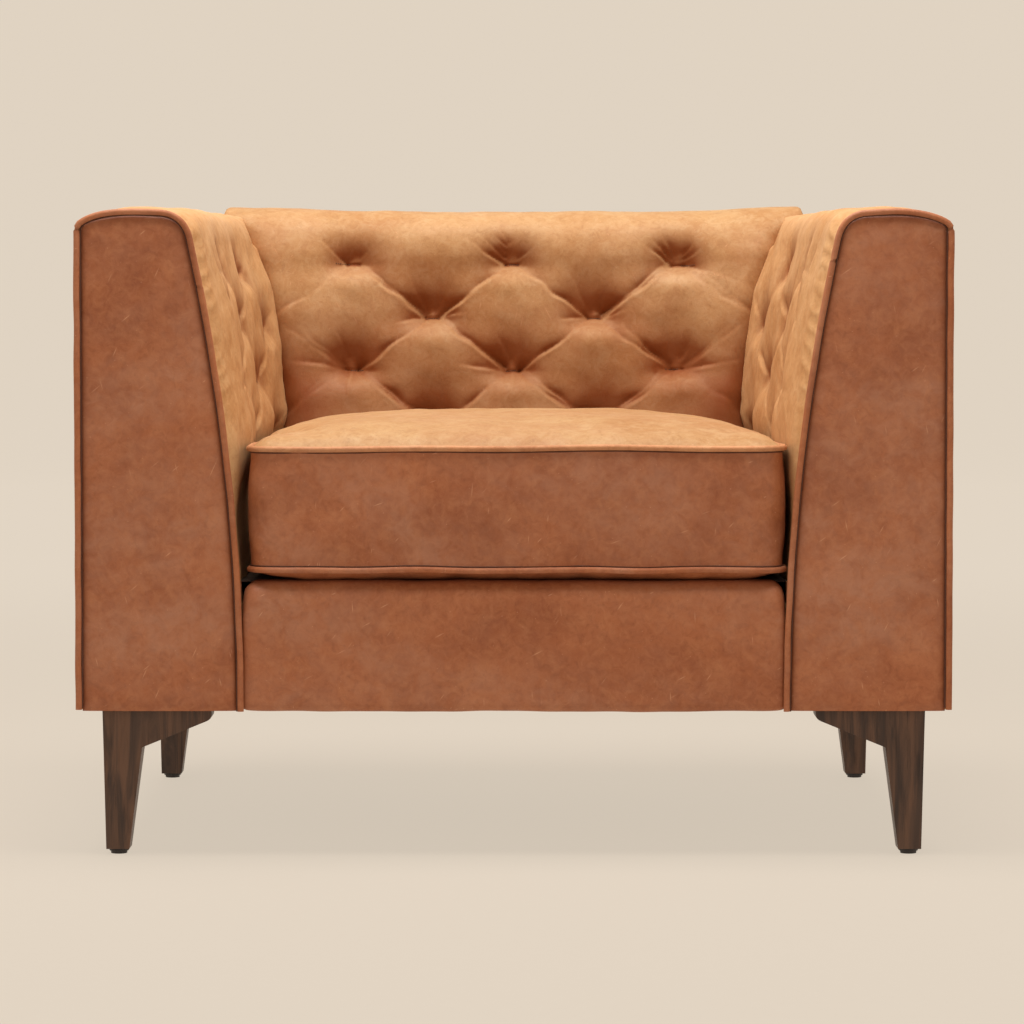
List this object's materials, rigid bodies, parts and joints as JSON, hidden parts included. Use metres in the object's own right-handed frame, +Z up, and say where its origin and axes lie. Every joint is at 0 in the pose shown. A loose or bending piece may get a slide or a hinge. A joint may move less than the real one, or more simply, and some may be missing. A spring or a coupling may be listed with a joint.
{
  "type": "upholstered armchair",
  "caption": "Low tufted leather club armchair with level arms and back, a loose box seat cushion and tapered wooden bracket legs.",
  "frame": {"origin": "on the floor, under the middle of the chair's footprint", "axes": "+Z up, -Y the way the seat faces, +Y towards the back, +X to the right seen from the front"},
  "size_m": [0.999, 0.85, 0.75],
  "materials": {
    "leather": "waxed pull-up leather, tan, soft sheen",
    "walnut": "dark walnut stain, satin lacquer",
    "glide_plastic": "matte",
    "frame_hardwood": "raw sawn hardwood",
    "spring_steel": "drawn wire, oiled",
    "webbing": "woven elastic webbing",
    "decking": "woven decking cloth over felt",
    "foam": "open-cell foam and fibre wadding",
    "dust_cloth": "thin non-woven dust cloth",
    "zip_cloth": "woven zip tape with nylon coil",
    "zip_metal": "antique brass"
  },
  "bodies": {
    "chair": {"front_rail": "frame_hardwood", "rear_rail": "frame_hardwood", "back_top_rail": "frame_hardwood", "seat_back_rail": "frame_hardwood", "front_post_left": "frame_hardwood", "front_post_right": "frame_hardwood", "rear_post_left": "frame_hardwood", "rear_post_right": "frame_hardwood", "side_rail_left": "frame_hardwood", "side_rail_right": "frame_hardwood", "arm_top_rail_left": "frame_hardwood", "arm_top_rail_right": "frame_hardwood", "back_side_frame_left": "frame_hardwood", "back_side_frame_right": "frame_hardwood", "corner_block_front_left": "frame_hardwood", "corner_block_front_right": "frame_hardwood", "corner_block_rear_left": "frame_hardwood", "corner_block_rear_right": "frame_hardwood", "seat_spring_1": "spring_steel", "seat_spring_2": "spring_steel", "seat_spring_3": "spring_steel", "seat_spring_4": "spring_steel", "seat_spring_5": "spring_steel", "spring_clips_front": "spring_steel", "spring_clips_rear": "spring_steel", "back_webbing_lower": "webbing", "back_webbing_upper": "webbing", "seat_deck": "decking", "inside_arm_cover_left": "leather", "arm_foam_left": "foam", "outside_arm_cover_left": "leather", "arm_facing_left": "leather", "arm_welt_left": "leather", "inside_arm_cover_right": "leather", "arm_foam_right": "foam", "outside_arm_cover_right": "leather", "arm_facing_right": "leather", "arm_welt_right": "leather", "inside_back_cover": "leather", "back_foam": "foam", "outside_back_cover": "leather", "front_rail_cover": "leather", "front_edge_pad": "foam", "dust_cover": "dust_cloth", "leg_front_left": "walnut", "glide_front_left": "glide_plastic", "leg_front_right": "walnut", "glide_front_right": "glide_plastic", "leg_rear_left": "walnut", "glide_rear_left": "glide_plastic", "leg_rear_right": "walnut", "glide_rear_right": "glide_plastic"},
    "seat_cushion": {"cushion_boxing": "leather", "cushion_core": "foam", "cushion_top_panel": "leather", "cushion_bottom_panel": "leather", "cushion_welt_top": "leather", "cushion_welt_bottom": "leather", "zip_tape": "zip_cloth"},
    "cushion_zip_slider": {"zip_slider": "zip_metal"}
  },
  "joints": [
    {"name": "cushion_lift", "type": "slide", "parent": "chair", "child": "seat_cushion", "axis": [0, 0, 1], "range_m": [0, 0.46]},
    {"name": "zip_slide", "type": "slide", "parent": "seat_cushion", "child": "cushion_zip_slider", "axis": [-1, 0, 0], "range_m": [0, 0.44]}
  ]
}
